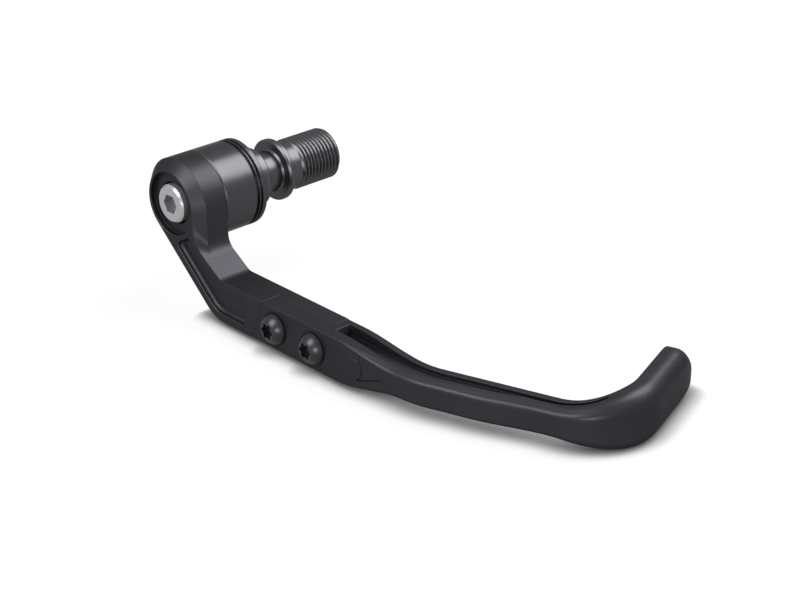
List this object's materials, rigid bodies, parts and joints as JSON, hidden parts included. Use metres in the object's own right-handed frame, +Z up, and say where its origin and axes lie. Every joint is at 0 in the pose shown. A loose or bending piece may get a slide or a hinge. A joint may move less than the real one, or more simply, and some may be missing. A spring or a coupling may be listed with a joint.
{
  "type": "brake lever guard",
  "caption": "Bar-end guard for a motorbike brake lever: cranked arm on a threaded stub, carrying a hooked moulded blade that shields the lever's tip.",
  "frame": {"origin": "on the stub's axis, at the flange face that seats on the handlebar's end", "axes": "+X along the guard towards its tip, +Y along the stub into the handlebar, +Z up"},
  "size_m": [0.1867, 0.0784, 0.0507],
  "materials": {
    "arm_anodised": "satin black anodised",
    "collar_anodised": "satin black anodised, turned",
    "stub_anodised": "satin black anodised, turned",
    "guard_plastic": "fine matte moulded",
    "stainless_steel": "plain stainless",
    "black_steel": "black oxide"
  },
  "bodies": {
    "root": {"mounting_arm": "arm_anodised", "lever_guard": "guard_plastic", "spacer_collar": "collar_anodised", "bar_end_adapter": "stub_anodised", "bar_end_screw": "stainless_steel", "guard_screws": "black_steel"}
  },
  "joints": []
}
